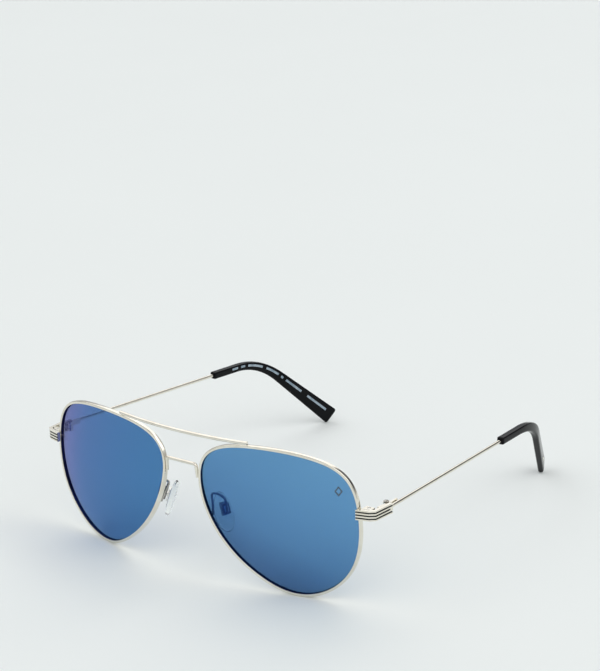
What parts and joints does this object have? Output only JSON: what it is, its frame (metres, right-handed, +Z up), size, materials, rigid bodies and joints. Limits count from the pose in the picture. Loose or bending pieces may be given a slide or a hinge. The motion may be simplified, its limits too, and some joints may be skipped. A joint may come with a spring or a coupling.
{
  "type": "aviator sunglasses",
  "caption": "Folding aviator sunglasses: double-bridge metal front, mirrored teardrop lenses, adjustable nose pads and thin hinged temples with bent plastic tips.",
  "frame": {"origin": "middle of the footprint, on the surface the open glasses stand on", "axes": "+X to the wearer's left, -Y the way the wearer looks, +Z up"},
  "size_m": [0.1436, 0.1488, 0.0529],
  "materials": {
    "silver_metal": "polished silver-coloured plating",
    "screw_steel": "turned steel",
    "mirror_lens": "blue mirror coating over a grey-blue tint",
    "black_plastic": "polished black acetate",
    "clear_plastic": "clear soft plastic"
  },
  "bodies": {
    "front": {"brow_bar": "silver_metal", "lower_bridge": "silver_metal", "left_rim": "silver_metal", "left_lens": "mirror_lens", "left_end_piece": "silver_metal", "left_closing_block_upper": "silver_metal", "left_closing_block_lower": "silver_metal", "left_closing_screw": "screw_steel", "left_front_hinge": "silver_metal", "left_hinge_screw": "screw_steel", "left_pad_arm": "silver_metal", "left_pad_box": "silver_metal", "left_pad_screw": "screw_steel", "right_rim": "silver_metal", "right_lens": "mirror_lens", "right_end_piece": "silver_metal", "right_closing_block_upper": "silver_metal", "right_closing_block_lower": "silver_metal", "right_closing_screw": "screw_steel", "right_front_hinge": "silver_metal", "right_hinge_screw": "screw_steel", "right_pad_arm": "silver_metal", "right_pad_box": "silver_metal", "right_pad_screw": "screw_steel"},
    "left_temple": {"left_temple_hinge": "silver_metal", "left_temple_wire": "silver_metal", "left_temple_tip": "black_plastic", "left_tip_inlay": "silver_metal"},
    "left_pad": {"left_nose_pad": "clear_plastic", "left_pad_stem": "screw_steel"},
    "right_temple": {"right_temple_hinge": "silver_metal", "right_temple_wire": "silver_metal", "right_temple_tip": "black_plastic", "right_tip_inlay": "silver_metal"},
    "right_pad": {"right_nose_pad": "clear_plastic", "right_pad_stem": "screw_steel"}
  },
  "joints": [
    {"name": "left_temple_fold", "type": "hinge", "parent": "front", "child": "left_temple", "pos_m": [0.06931, -0.05301, 0.03326], "axis": [0, 0, 1], "range_deg": [0, 84]},
    {"name": "right_temple_fold", "type": "hinge", "parent": "front", "child": "right_temple", "pos_m": [-0.06931, -0.05301, 0.03326], "axis": [0, 0, -1], "range_deg": [0, 79]},
    {"name": "left_pad_rock", "type": "hinge", "parent": "front", "child": "left_pad", "pos_m": [0.01311, -0.06724, 0.02478], "axis": [0.4781, 0.8718, 0.1067], "range_deg": [-8, 8]},
    {"name": "right_pad_rock", "type": "hinge", "parent": "front", "child": "right_pad", "pos_m": [-0.01311, -0.06724, 0.02478], "axis": [-0.4781, 0.8718, 0.1067], "range_deg": [-8, 8]}
  ]
}
